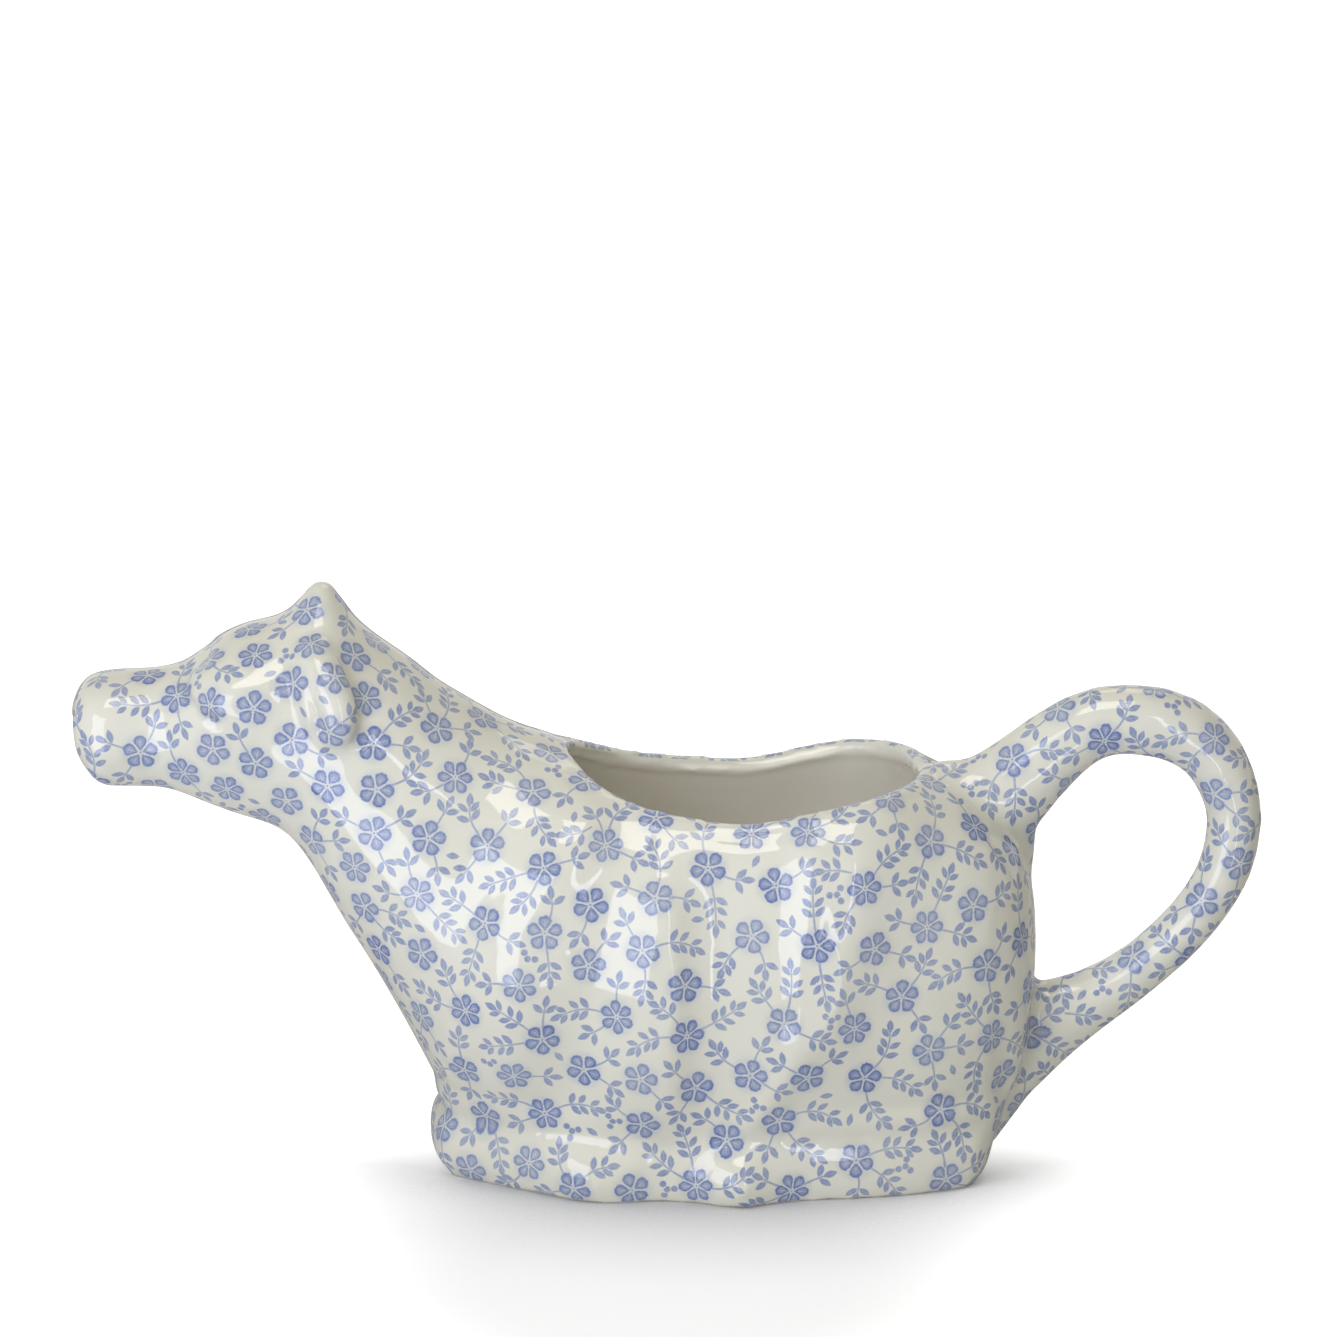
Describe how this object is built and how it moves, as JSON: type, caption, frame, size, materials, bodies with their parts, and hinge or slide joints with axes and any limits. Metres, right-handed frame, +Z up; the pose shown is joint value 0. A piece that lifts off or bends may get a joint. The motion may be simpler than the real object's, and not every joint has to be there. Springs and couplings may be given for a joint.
{
  "type": "cow creamer",
  "caption": "Cow-shaped glazed earthenware creamer: filled through the open back, poured from the open muzzle, and held by its tail, which curls round into a loop handle.",
  "frame": {"origin": "on the table under the middle of the bounding box", "axes": "-X towards the muzzle and +X towards the tail loop, +Y towards the cow's right side, +Z up"},
  "size_m": [0.2001, 0.0604, 0.1007],
  "materials": {
    "glazed_body": "cream earthenware under a clear gloss glaze, with an all-over small blue floral print on the outside and plain cream inside"
  },
  "bodies": {
    "root": {"body": "glazed_body", "base": "glazed_body", "head_spout": "glazed_body", "tail_handle": "glazed_body", "ear_left": "glazed_body", "ear_right": "glazed_body"}
  },
  "joints": []
}
